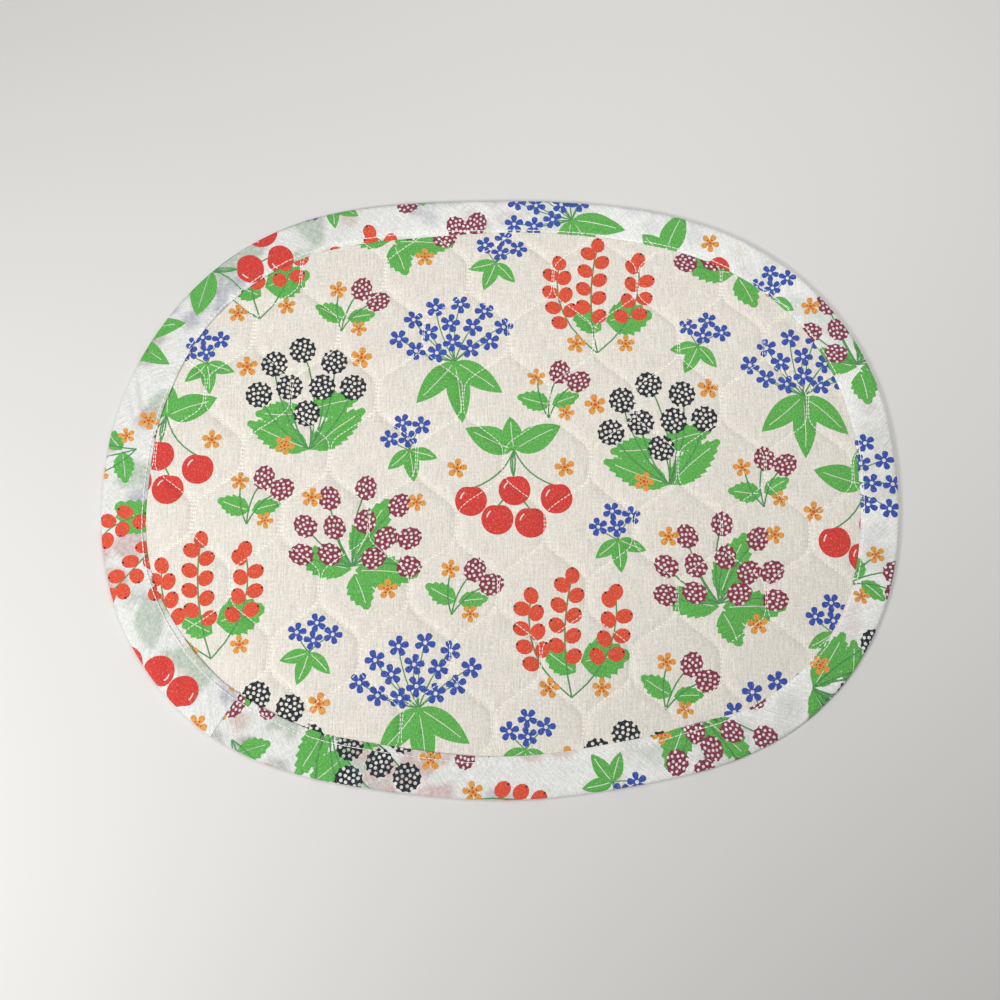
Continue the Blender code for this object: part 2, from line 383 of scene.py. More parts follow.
def round_the_edge():
    """(arc lengths clockwise from the lap, their directions) once round the mat, and a little further."""
    turn = np.linspace(-0.1, math.tau + 0.2, 8000)
    angle = math.radians(LAP_DIRECTION) - turn
    x, y = edge_point(angle)
    arc = np.concatenate([[0], np.cumsum(np.hypot(np.diff(x), np.diff(y)))])
    return arc - np.interp(0, turn, arc), angle, np.interp(math.tau, turn, arc) - np.interp(0, turn, arc)


ARCS, ARC_ANGLES, PERIMETER = round_the_edge()


def direction_at(s):
    return np.interp(s, ARCS, ARC_ANGLES)


def arc_at(degrees):
    turn = math.radians((LAP_DIRECTION - degrees) % 360)
    return float(np.interp(turn, math.radians(LAP_DIRECTION) - ARC_ANGLES, ARCS))


def under_lap(s):
    """1 where the strip's other end lies under its folded end, rising from 0."""
    return smooth((s - PERIMETER + 1) / (0.5 * LAP_UNDER))


def lap_rise(s):
    past_end = math.degrees(1) * (math.radians(LAP_DIRECTION) - direction_at(np.clip(s, 0, PERIMETER)))
    return LAP_RISE * smooth(1 - past_end / LAP_SPAN)


def band_relief(s, distance, stitching):
    """How far the band's front stands over its level, which starts at the rounded edge."""
    table = [(arc_at(a), b, arc_at(c), d, breadth, height) for a, b, c, d, breadth, height in BAND_CREASES]
    relief = BAND_PUFF * np.sin(math.pi * np.clip(distance / stitching, 0, 1))
    relief -= STITCH_DIP * np.exp(-(((distance - stitching) / DIP_REACH) ** 2))
    sinks = LIP_SINKS * (1 - eased(LIP_STANDS, direction_at(s))[0])
    relief -= sinks * smooth((distance - stitching) / LIP_BEND)
    beside_stitching = np.exp(-np.abs(distance - stitching) / BAND_PUCKER_REACH)
    relief += BAND_PUCKER * np.sin(math.tau * s / BAND_PUCKER_PITCH) * beside_stitching
    drift = np.sin(s / 41) * np.sin(s / 17 + 1)
    ripples = np.sin(math.tau * (s + distance) / BIAS_RIPPLE_PITCH + 2 * drift)
    relief += BIAS_RIPPLE * ripples * (0.5 + 0.5 * drift) + creases(s, distance, table)
    return relief * smooth(distance / (2 * EDGE_ROUND))


def band_limits(s):
    """How far in the strip's stitching and its front and back folds lie."""
    fold, stitching = binding_widths(direction_at(s))
    fold = fold - UNDER_LAP_SHORTER * under_lap(s)
    return stitching, fold, fold - BACK_SHORTER


def flat_reach(distance):
    """How far from the edge a point is along the strip, from how far in from the edge it lies."""
    return distance + EDGE_ARC - EDGE_ROUND


def band_place(s, out):
    """Where a point of the flat strip lies on the mat, as x, y and height."""
    on, end_drop = turn_under(-s, LAP_NOSE)
    s = np.where(s < 0, -on, s)
    stitching, fold, back = band_limits(s)
    reach, front = np.abs(out), out <= 0
    limit = np.where(front, fold, back) - NOSE
    on, drop = turn_under(reach - flat_reach(limit), NOSE)
    bend = np.clip(reach / EDGE_ARC, 0, 1) * math.pi / 2
    distance = np.where(reach < EDGE_ARC, EDGE_ROUND * (1 - np.cos(bend)), limit + on)
    lap, sink = lap_rise(s), UNDER_LAP_SINKS * under_lap(s)
    middle = EDGE_HEIGHT / 2
    upper = middle + (middle + lap - sink) * np.sin(bend) + band_relief(s, distance, stitching) - drop
    back_dip = BACK_DIP * np.exp(-(((distance - stitching) / DIP_REACH) ** 2))
    lower = middle * (1 - np.sin(bend)) + drop + sink + back_dip
    x, y = inside(direction_at(s), distance - (lap - sink) * np.cos(bend))
    return x, y, np.where(front, upper - end_drop, lower + end_drop)


# ---- The print ----


def around(radius, degrees, centre=(0.0, 0.0)):
    angle = math.radians(degrees)
    return centre[0] + radius * math.cos(angle), centre[1] + radius * math.sin(angle)


def moved(points, x, y, degrees):
    cos, sin = math.cos(math.radians(degrees)), math.sin(math.radians(degrees))
    return [(x + px * cos - py * sin, y + px * sin + py * cos) for px, py in points]


def round_shape(centre, radius_at, points):
    steps = [360 * i / points for i in range(points)]
    return [around(radius_at(step), step, centre) for step in steps]


def disc(ink, centre, radius, points=12):
    return [(ink, round_shape(centre, lambda degrees: radius, points))]


def ribbon(ink, path, width):
    """A line of even width along a path."""
    path = np.array(path, float)
    run = np.gradient(path, axis=0)
    side = np.stack([-run[:, 1], run[:, 0]], axis=1) * (0.5 * width / np.hypot(*run.T))[:, None]
    return [(ink, [*map(tuple, path + side), *map(tuple, (path - side)[::-1])])]


def bowed(start, end, bow, steps=6):
    """Points from start to end that bow to the left by a share of the length."""
    (x0, y0), (x1, y1) = start, end
    shares = [i / steps for i in range(steps + 1)]
    outs = [4 * bow * share * (1 - share) for share in shares]
    return [
        (x0 + share * (x1 - x0) - out * (y1 - y0), y0 + share * (y1 - y0) + out * (x1 - x0))
        for share, out in zip(shares, outs)
    ]


def stem(start, end, bow=0.1, width=0.9):
    return ribbon("stem", bowed(start, end, bow), width)


def leaf(base, degrees, length, width, teeth=0):
    """A leaf with a bare vein, fullest nearer its base, plain or with a saw edge."""
    steps = 2 * teeth if teeth else 10
    side = []
    for i in range(1, steps):
        share = i / steps
        half = 0.5 * width * math.sin(math.pi * share**0.8) ** 0.85
        if teeth:
            half *= 1.1 if i % 2 else 0.9
            share += 0.035 if i % 2 else -0.01
        side.append((share * length, half))
    outline = [(0.0, 0.0), *[(x, -y) for x, y in side], (length, 0.0), *side[::-1]]
    vein = bowed((0.1 * length, 0), (0.82 * length, 0), 0.02, 4)
    return [("leaf", moved(outline, *base, degrees)), *ribbon("bare", moved(vein, *base, degrees), 0.42)]


def petals(ink, centre, radius, degrees, count=5):
    shape = ((-0.5, 0.3), (-0.36, 0.72), (-0.22, 0.95), (0.0, 1.0), (0.22, 0.95), (0.36, 0.72))
    turns = [(degrees + 360 / count * (i + share), out) for i in range(count) for share, out in shape]
    return [(ink, [around(radius * out, turn, centre) for turn, out in turns])]


def flower(centre, radius=6.0, degrees=90.0):
    patches = petals("flower", centre, radius, degrees) + disc("hip", centre, 0.17 * radius, 6)
    for i in range(5):
        patches += disc("seed", around(0.36 * radius, degrees + 72 * i, centre), 0.075 * radius, 5)
    return patches


def bluet(centre, radius, degrees):
    return petals("blue", centre, radius, degrees) + disc("bare", centre, 0.2 * radius, 6)


def head(ink, centre, radius, degrees, lobes=13, dots=19, stretch=1.0):
    """A flower head with a scalloped rim, filled with bare dots in a spiral, and longer one way."""

    def place(points):
        taper = 0.12 if stretch > 1 else 0.0
        points = [(stretch * x, y * (1 - taper * x / radius)) for x, y in points]
        return moved(points, *centre, degrees)

    def rim(at):
        return radius * (1 - 0.1 * abs(math.sin(math.radians(0.5 * lobes * at))) ** 0.6)

    patches = [(ink, place(round_shape((0, 0), rim, 3 * lobes)))]
    for i in range(dots):
        spot = around(0.87 * radius * math.sqrt((i + 0.4) / dots), 137.5 * i)
        patches.append(("bare", place(round_shape(spot, lambda at: 0.125 * radius, 6))))
    return patches


def clover(centre, degrees, radius=6.6):
    return head("clover", centre, radius, degrees, lobes=11, dots=16, stretch=1.15)


def cherry(centre, radius=9.2):
    def rim(at):
        return radius * (1 - 0.14 * math.exp(-(((at - 90) / 22) ** 2)))

    shine = [around(0.66 * radius, degrees, centre) for degrees in (128, 142, 156, 170)]
    return [("cherry", round_shape(centre, rim, 24)), *ribbon("bare", shine, 0.8)]


def hip(centre, degrees, radius=4.2):
    body = [(1.2 * x, y) for x, y in round_shape((0, 0), lambda at: radius, 12)]
    tip = disc("seed", around(radius, degrees, centre), 0.17 * radius, 5)
    return [("hip", moved(body, *centre, degrees)), *tip]


def cherries():
    join = (2, 23)
    fruit = ((-23, -7), (-8, -18), (11, -20), (26, -6), (2, -1))
    patches = leaf(join, 155, 31, 16) + leaf(join, 28, 31, 16) + leaf(join, 96, 20, 12)
    for x, y in fruit:
        patches += stem(join, (x, y + 7), 0.12 if x < 0 else -0.12)
    for spot in fruit:
        patches += cherry(spot)
    return patches + flower((-31, 12), 6, 80) + flower((31, 12), 6, 100)


def alliums():
    base = (0, -30)
    heads = ((0, 31), (-17, 24), (18, 22), (-27, 6), (28, 5), (-9, 9), (10, 7), (0, -8))
    patches = leaf(base, 150, 40, 17, 9) + leaf(base, 32, 40, 17, 9)
    patches += leaf((0, -8), 175, 30, 15, 8) + leaf((1, -6), 8, 30, 15, 8)
    for x, y in heads:
        patches += stem(base, (x, y), 0.08 if x < 0 else -0.08)
    for i, spot in enumerate(heads):
        patches += head("seed", spot, 8.2, 37 * i)
    return patches + flower((-33, 24), 6.5) + flower((34, 23), 6.5, 75) + flower((-14, -26), 6, 60)


def bluets():
    base = (0, -8)
    # reach, flowers, degrees between them
    rings = ((12, 3, 56), (24, 5, 33), (36, 6, 24))
    turns = [(reach, step * (i - (count - 1) / 2)) for reach, count, step in rings for i in range(count)]
    spots = [around(reach, 90 + turn, base) for reach, turn in turns]
    patches = []
    for spot in spots:
        patches += stem(base, spot, 0.05, 0.7)
    for degrees, length in ((222, 34), (270, 38), (318, 34)):
        patches += leaf(base, degrees, length, 14)
    for i, spot in enumerate(spots):
        patches += bluet(spot, 6.0, 90 + 25 * i)
    return patches


def hips():
    base = (3, -34)
    # top, bow, hips
    sprays = (((-25, 20), 0.16, 8), ((-3, 34), 0.06, 9), ((22, 27), -0.14, 8))
    patches = leaf((6, -14), 15, 28, 22, 7) + leaf((4, -20), 150, 22, 14, 6)
    for top, bow, _ in sprays:
        patches += stem(base, top, bow)
    for top, bow, count in sprays:
        path = bowed(base, top, bow, 24)
        run = math.degrees(math.atan2(top[1] - base[1], top[0] - base[0]))
        patches += hip(path[24], run)
        for i in range(1, count):
            side = 1 if i % 2 else -1
            patches += hip(around(4.6, run + 90 * side, path[24 - 2 * i]), run + 50 * side)
    return patches + flower((-10, -30), 6, 85) + flower((19, -27), 5.5, 95)


def clovers():
    base = (-2, -14)
    reaches = (36, 44, 46, 42, 36, 25, 27, 25, 15, 13, 30, 32)
    heads = [*zip(reaches, (35, 62, 90, 118, 148, 50, 84, 124, 160, 30, 175, 8))]
    patches = leaf((-2, -10), 70, 40, 20, 9) + leaf((-2, -16), 172, 34, 18, 8)
    patches += leaf((0, -16), 5, 36, 19, 8) + leaf((0, -18), 300, 22, 15, 6)
    for reach, degrees in heads:
        patches += stem(base, around(reach, degrees, base), 0.06)
    for reach, degrees in heads:
        patches += clover(around(reach, degrees, base), degrees)
    return patches + flower((-32, 22)) + flower((28, 28), 5.5, 70) + flower((20, -24), 6.0, 100)


def sprig():
    base = (-4, -16)
    patches = leaf((-3, -8), 165, 20, 12, 6) + leaf((-2, -8), 20, 17, 10, 5)
    for end in ((3, 12), (13, 6), (-10, 8)):
        patches += stem(base, end, 0.08)
    patches += clover((3, 12), 85) + clover((14, 6), 35)
    return patches + flower((-11, 9), 5.5) + flower((6, -13), 5.0, 70)


def bluet_sprig():
    base = (0, -4)
    spots = ((-9, 6), (1, 13), (11, 8), (1, 3))
    patches = leaf(base, 205, 17, 8) + leaf(base, 260, 19, 9) + leaf(base, 325, 17, 8)
    for spot in spots:
        patches += stem(base, spot, 0.05, 0.7)
    for i, spot in enumerate(spots):
        patches += bluet(spot, 5.6, 90 + 30 * i)
    return patches


# The print repeats on a slanted grid, with a large bunch at each step and a sprig midway between four.
LARGE = (cherries, alliums, bluets, hips, clovers)
SMALL = (sprig, bluet_sprig)
STEP_ALONG, STEP_UP = (86.0, 31.0), (-33.0, 85.0)
LARGE_REACH, SMALL_REACH = 52.0, 25.0
LEAN = 9.0


def printed(place, reaches):
    """The print's patches: place lays its points on a flat cloth, and reaches says if a bunch may show."""
    patches = []
    for row in range(-20, 21):
        for column in range(-20, 21):
            x = column * STEP_ALONG[0] + row * STEP_UP[0]
            y = column * STEP_ALONG[1] + row * STEP_UP[1]
            lean = LEAN * math.sin(2.3 * row + 1.7 * column)
            large = LARGE[(column + 2 * row) % len(LARGE)]
            small = SMALL[(column + row) % len(SMALL)]
            half_x, half_y = (STEP_ALONG[0] + STEP_UP[0]) / 2, (STEP_ALONG[1] + STEP_UP[1]) / 2
            for bunch, at, turn, reach in (
                (large, (x, y), lean, LARGE_REACH),
                (small, (x + half_x, y + half_y), -2 * lean, SMALL_REACH),
            ):
                if reaches(*place([at])[0], reach):
                    patches += [(ink, place(moved(points, *at, turn))) for ink, points in bunch()]
    return patches


# ---- Meshes ----


def signed_area(points):
    x, y = np.array(points, float).T
    return 0.5 * float(np.sum(x * np.roll(y, -1) - np.roll(x, -1) * y))


def cut_cloth(outline, patches, points, lines=()):
    """Triangles of a flat cloth with its print cut in: (points, triangles, ink of each triangle).

    The last patch to cover a triangle gives its ink, as the last screen printed does.
    """
    corners, faces, edges = [], [], []
    for ring in (outline, *(patch for _, patch in patches)):
        start = len(corners)
        corners += ring if signed_area(ring) > 0 else ring[::-1]
        faces.append(list(range(start, len(corners))))
    for line in lines:
        edges += [(len(corners) + i, len(corners) + i + 1) for i in range(len(line) - 1)]
        corners += line
    corners += points
    made = delaunay_2d_cdt([Vector(corner) for corner in corners], edges, faces, 0, 1e-4, True)
    triangles, inks = [], []
    for triangle, sources in zip(made[2], made[5]):
        if 0 in sources:
            triangles.append(triangle)
            inks.append(patches[max(sources) - 1][0] if len(sources) > 1 else "bare")
    used, triangles = np.unique(triangles, return_inverse=True)
    return np.array(made[0], float)[used], triangles.reshape(-1, 3), inks


def add_piece(name, points, faces, material):
    """An object of the mat, from points in millimetres."""
    data = bpy.data.meshes.new(name)
    data.from_pydata((np.array(points) * MM).tolist(), [], np.array(faces).tolist())
    data.shade_smooth()
    data.materials.append(material)
    piece = bpy.data.objects.new(name, data)
    bpy.context.scene.collection.objects.link(piece)
    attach(piece, "root")
    return piece


def add_values(piece, name, kind, domain, values):
    """A named attribute of a piece's mesh, for its material to read."""
    attribute = piece.data.attributes.new(name, kind, domain)
    attribute.data.foreach_set("color" if kind == "FLOAT_COLOR" else "vector", np.ravel(values))


def add_cloth(name, lifted, triangles, inks, place, seam, material):
    """A piece of cloth that knows its inks, each point's place along its flat threads, and its seam: how far
    each point is from a row of stitches, and along it."""
    piece = add_piece(name, lifted, triangles, material)
    colours = [(*INKS[ink], 1.0) if ink in INKS else (1.0, 1.0, 1.0, 0.0) for ink in inks]
    add_values(piece, "ink", "FLOAT_COLOR", "CORNER", np.repeat(colours, 3, axis=0))
    for value, points in (("cloth_place", place), ("seam", np.stack(seam, axis=1))):
        add_values(piece, value, "FLOAT_VECTOR", "POINT", np.c_[points * MM, np.zeros(len(points))])
    return piece


def rim_ring():
    angle = np.linspace(0, math.tau, RIM_POINTS, endpoint=False)
    return list(zip(*inside(angle, RIM_IN)))


def strip_points(row_step, from_line):
    """Points across the strips between needle lines, closest together beside the lines."""
    points, rows = [], math.ceil(230 / row_step)
    for step in range(-rows, rows + 1):
        y = step * row_step
        for k in NEEDLE_LINES[:-1]:
            start, end = needle_line(k, y), needle_line(k + 1, y)
            half = (end - start) / 2
            offsets = [offset for offset in from_line if offset < half - 0.3]
            xs = [start + offset for offset in offsets] + [end - offset for offset in offsets]
            if half > 0.6:
                xs.append(start + half)
            points += [on_mat(x, y) for x in xs]
    return np.array(points)


def needle_runs(step):
    """The needle lines over the mat, each a run of points."""
    runs = []
    y = np.arange(-MAT_REACH[0], MAT_REACH[0], step)
    for k in NEEDLE_LINES:
        points = np.stack(on_mat(needle_line(k, y), y), axis=1)
        kept = in_from_edge(*points.T) > RIM_IN + 2
        cuts = np.flatnonzero(np.diff(kept.astype(int))) + 1
        for run, inner in zip(np.split(points, cuts), np.split(kept, cuts)):
            if inner[0] and len(run) > 2:
                runs.append(run)
    return runs


def coarse_points():
    """An even grid, for the cloth beneath the binding."""
    x, y = np.meshgrid(*(np.arange(-reach, reach + 1, RIM_STEP) for reach in MAT_REACH))
    return np.stack([x.ravel(), y.ravel()], axis=1)


def panel_sheet(row_step, from_line, patches):
    """The quilted panel's oval, fine inside the binding and coarse beneath it."""
    fine, coarse = strip_points(row_step, from_line), coarse_points()
    fine = fine[in_from_fold(*fine.T) > -3]
    beneath = (in_from_fold(*coarse.T) < -4) & (in_from_edge(*coarse.T) > RIM_IN + 2)
    points = [tuple(point) for point in np.concatenate([fine, coarse[beneath]])]
    lines = [[tuple(point) for point in run] for run in needle_runs(row_step)]
    return cut_cloth(rim_ring(), patches, points, lines)


def quilting_seam(x, y):
    quilt_x, quilt_y = on_quilting(x, y)
    return to_needle_line(quilt_x, quilt_y), np.interp(quilt_y, NEEDLE_YS, NEEDLE_RUN)


def make_face(material):
    def reaches(x, y, reach):
        return in_from_fold(x, y) > -reach

    patches = printed(lambda points: moved(points, *PANEL_PRINT), reaches)
    flat, triangles, inks = panel_sheet(ROW_STEP, FROM_LINE, patches)
    lifted = np.c_[flat, face_height(*flat.T)]
    seam = quilting_seam(*flat.T)
    return add_cloth("face_cloth", lifted, triangles, inks, flat, seam, material)


def make_back(material):
    flat, triangles, inks = panel_sheet(4 * ROW_STEP, BACK_FROM_LINE, [])
    lifted = np.c_[flat, back_height(*flat.T)]
    seam = quilting_seam(*flat.T)
    return add_cloth("back_cloth", lifted, triangles[:, ::-1], inks, flat, seam, material)


def strip_stations():
    """Where the strip's cross rows of points are, closest together at its folded end."""
    folded = [-LAP_NOSE * math.pi * share for share in (1, 0.75, 0.5, 0.25)]
    near_end = [-LAP_NOSE * math.pi - TUCK, -LAP_NOSE * math.pi - 0.5 * TUCK, *folded, 0, 0.4, 1.0]
    count = round(PERIMETER / STATION_STEP)
    even = [2.0 + (PERIMETER - 2.0) * i / count for i in range(count + 1)]
    return np.array(near_end + even + [PERIMETER + LAP_UNDER * share for share in (0.2, 0.4, 0.7, 1)])


def strip_reaches(s):
    """(front, back) reach of the strip's hidden edges along the flat strip at s."""
    stitching, fold, back = band_limits(np.maximum(s, 0))
    beyond = math.pi * NOSE + TUCK
    return flat_reach(fold - NOSE) + beyond, flat_reach(back - NOSE) + beyond


def strip_rows(limit, step):
    """Reaches of the lengthwise rows of points on one side of the strip, as far as its fold."""
    level = flat_reach(limit - NOSE)
    count = math.ceil((level - EDGE_ARC) / step)
    rows = [EDGE_ARC * share for share in (0.2, 0.4, 0.6, 0.8)]
    rows += [EDGE_ARC + (level - EDGE_ARC) * i / count for i in range(count + 1)]
    return rows + [level + math.pi * NOSE * share for share in (0.25, 0.5, 0.75, 1)]


def on_strip(points):
    """Points of the print's own axes on the flat strip, which is cut across its threads."""
    return moved(points, *STRIP_PRINT)


def off_strip(flat):
    x, y, degrees = STRIP_PRINT
    return np.array(moved(flat - (x, y), 0, 0, -degrees))


def covered(points, patch):
    """Which points of the flat cloth lie within a patch."""
    x, y = points[:, 0, None], points[:, 1, None]
    start_x, start_y = np.array(patch).T
    end_x, end_y = np.roll(start_x, -1), np.roll(start_y, -1)
    level = (start_y > y) != (end_y > y)
    rise = np.where(end_y == start_y, 1, end_y - start_y)
    right_of = x < start_x + (y - start_y) * (end_x - start_x) / rise
    return np.sum(level & right_of, axis=1) % 2 == 1


def show_through(flat, triangles, patches):
    """The print of the layer beneath, blurred, as colours and their strength at points of the flat strip."""
    seen = np.zeros((len(flat), 4))
    for ink, patch in patches:
        within = (flat > np.min(patch, axis=0)) & (flat < np.max(patch, axis=0))
        near = np.flatnonzero(np.all(within, axis=1))
        beneath = near[covered(flat[near], patch)]
        seen[beneath] = (*(0.5 * np.array(INKS[ink]) + 0.5 * np.mean(INKS[ink])), 1) if ink in INKS else 0
    sides = np.concatenate([triangles[:, (0, 1)], triangles[:, (1, 2)], triangles[:, (2, 0)]])
    sides = np.concatenate([sides, sides[:, ::-1]])
    shares = 1 + np.bincount(sides[:, 0], minlength=len(flat))[:, None]
    for _ in range(SHOW_THROUGH_BLUR):
        spread = seen.copy()
        np.add.at(spread, sides[:, 0], seen[sides[:, 1]])
        seen = spread / shares
    towards = smooth(np.cos(direction_at(flat[:, 0]) - math.radians(MOST_DIRECTION)) + 0.5)
    grey = SHOW_THROUGH_GREY * towards[:, None] + 1e-6
    seen += grey * np.array([*[np.mean(list(INKS.values()))] * 3, 1])
    strength = SHOW_THROUGH + (SHOW_THROUGH_MOST - SHOW_THROUGH) * towards
    return np.c_[seen[:, :3] / seen[:, 3:], strength * np.clip(seen[:, 3], 0, 1)]


def make_strip(material):
    def reaches(x, y, reach):
        return -reach < x < PERIMETER + LAP_UNDER + reach and abs(y) < 32 + reach

    stations = strip_stations()
    front, back = strip_reaches(stations)
    outline = [*zip(stations, -front), *zip(stations[::-1], back[::-1])]
    limits = band_limits(np.maximum(stations, 0))
    points = []
    for s, _, fold, behind in zip(stations, *limits):
        points += [(s, 0.0)] + [(s, -reach) for reach in strip_rows(fold, BAND_STEP)]
        points += [(s, reach) for reach in strip_rows(behind, BACK_STEP)]
    patches = printed(on_strip, reaches)
    flat, triangles, inks = cut_cloth(outline, patches, points)
    lifted = np.stack(band_place(*flat.T), axis=1)
    place = off_strip(flat)
    seam = (np.abs(np.abs(flat[:, 1]) - flat_reach(band_limits(flat[:, 0])[0])), flat[:, 0])
    strip = add_cloth("binding_strip", lifted, triangles, inks, place, seam, material)
    shift_x, shift_y = BENEATH_SHIFT
    beneath = printed(lambda places: [(x + shift_x, shift_y - y) for x, y in on_strip(places)], reaches)
    add_values(strip, "show_through", "FLOAT_COLOR", "POINT", show_through(flat, triangles, beneath))
    length = PERIMETER + LAP_UNDER + LAP_NOSE * math.pi + TUCK
    width = float(np.mean(front + back))
    return strip, (width * MM, length * MM)


def stitches(lift, starts, stitch, side, seed):
    """Points of small arches of thread that start at these places along a seam: (arches, points, 3). lift
    takes places along the seam to points of the cloth. side is 1 on its face and -1 on its back."""
    chance = np.random.default_rng(seed)
    starts = starts + chance.uniform(-0.1, 0.1, len(starts))
    lengths = stitch * chance.uniform(0.94, 1.06, (len(starts), 1))
    along = starts[:, None] + lengths * STITCH_SHARES
    step = lift(along + 0.4) - lift(along - 0.4)
    across = np.stack([-step[..., 1], step[..., 0], np.zeros(along.shape)], axis=-1)
    across /= np.linalg.norm(across, axis=-1, keepdims=True)
    middle = lift(along) + across * chance.uniform(-0.1, 0.1, (len(starts), 1, 1))
    middle[..., 2] += side * np.array(STITCH_PROFILE)
    thickness = 0.5 * THREAD * np.array(STITCH_FULLNESS)[:, None, None]
    turn = math.tau * (np.arange(THREAD_SIDES) + 0.5) / THREAD_SIDES
    rings = np.cos(turn)[:, None] * across[..., None, :] + np.sin(turn)[:, None] * np.array([0, 0, 1])
    return (middle[..., None, :] + thickness * rings).reshape(len(starts), POINTS_PER_STITCH, 3)


def add_stitches(name, points, material):
    faces = []
    for ring in range(len(STITCH_SHARES) - 1):
        for i in range(THREAD_SIDES):
            j = (i + 1) % THREAD_SIDES
            low, high = ring * THREAD_SIDES, (ring + 1) * THREAD_SIDES
            faces.append((low + j, low + i, high + i, high + j))
    last = POINTS_PER_STITCH - 1
    faces += [tuple(range(THREAD_SIDES)), tuple(range(last, last - THREAD_SIDES, -1))]
    starts = POINTS_PER_STITCH * np.arange(len(points))
    quads = (starts[:, None, None] + np.array(faces)).reshape(-1, 4)
    return add_piece(name, points.reshape(-1, 3), quads, material)


def quilting_stitches(height, side):
    """The stitches of every needle line, as far as just under the binding."""
    pitch = QUILT_STITCH + QUILT_GAP
    starts = pitch * np.arange(math.ceil(NEEDLE_RUN[-1] / pitch))
    made = []
    for k in NEEDLE_LINES:

        def lift(along):
            y = np.interp(along, NEEDLE_RUN, NEEDLE_YS)
            x, y = on_mat(needle_line(k, y), y)
            return np.stack([x, y, height(x, y)], axis=-1)

        shown = in_from_fold(*lift(starts + QUILT_STITCH / 2).T[:2]) > -1
        made.append(stitches(lift, starts[shown], QUILT_STITCH, side, k - NEEDLE_LINES[0]))
    return np.concatenate(made)


def binding_stitches(side):
    def lift(s):
        return np.stack(band_place(s, -side * flat_reach(band_limits(s)[0])), axis=-1)

    starts = np.arange(0.4, PERIMETER - BINDING_STITCH, BINDING_STITCH + BINDING_GAP)
    return stitches(lift, starts, BINDING_STITCH, side, 50 + side)


def make_thread(material):
    """The stitches of the quilting and of the binding, on both sides of the mat."""
    quilting = [
        add_stitches("quilting_thread", quilting_stitches(face_height, 1), material),
        add_stitches("quilting_thread_back", quilting_stitches(back_height, -1), material),
    ]
    binding = [
        add_stitches("binding_thread", binding_stitches(1), material),
        add_stitches("binding_thread_back", binding_stitches(-1), material),
    ]
    return quilting, binding


# ---- Materials ----


def add(tree, kind, inputs=(), **settings):
    """A new node. Its inputs are numbers, or sockets that are linked to it."""
    node = tree.nodes.new(kind)
    for name, value in settings.items():
        setattr(node, name, value)
    for key, value in dict(inputs).items():
        if isinstance(value, bpy.types.NodeSocket):
            tree.links.new(value, node.inputs[key])
        else:
            node.inputs[key].default_value = value
    return node


def maths(tree, operation, *values, clamp=False):
    return add(tree, "ShaderNodeMath", enumerate(values), operation=operation, use_clamp=clamp).outputs[0]


def mixed(tree, share, under, over):
    inputs = {0: share, 6: under, 7: over}
    return add(tree, "ShaderNodeMix", inputs, data_type="RGBA").outputs[2]


def scaled(tree, colour, share):
    inputs = {"Vector": colour, "Scale": share}
    return add(tree, "ShaderNodeVectorMath", inputs, operation="SCALE").outputs[0]


def noise(tree, place, along_x, along_y, detail=2.0):
    """Noise with that many features in a metre along each run of threads."""
    inputs = {0: place, 1: (along_x, along_y, 1.0)}
    stretched = add(tree, "ShaderNodeVectorMath", inputs, operation="MULTIPLY").outputs[0]
    inputs = {"Vector": stretched, "Scale": 1.0, "Detail": detail}
    return add(tree, "ShaderNodeTexNoise", inputs).outputs["Fac"]


def swing(tree, value, by):
    """1, give or take: a noise value turned into a factor."""
    return maths(tree, "MULTIPLY_ADD", value, by, 1 - by / 2)


def plain_weave(tree, place):
    """The over and under of the threads, from -1 to 1."""
    inputs = {0: place, 1: (math.pi / (THREAD_PITCH * MM),) * 3}
    turns = add(tree, "ShaderNodeVectorMath", inputs, operation="MULTIPLY").outputs[0]
    parts = add(tree, "ShaderNodeSeparateXYZ", {0: turns}).outputs[:2]
    return product(tree, *(maths(tree, "SINE", part) for part in parts))


def new_material(name):
    material = bpy.data.materials.new(name)
    material.use_nodes = True
    return material, material.node_tree, material.node_tree.nodes["Principled BSDF"]


def falling_off(tree, distance, reach):
    """1 at a distance of 0, and fading with it."""
    return maths(tree, "EXPONENT", maths(tree, "MULTIPLY", distance, -1 / (reach * MM)))


def total(tree, *values):
    return reduce(lambda so_far, value: maths(tree, "ADD", so_far, value), values)


def product(tree, *values):
    return reduce(lambda so_far, value: maths(tree, "MULTIPLY", so_far, value), values)


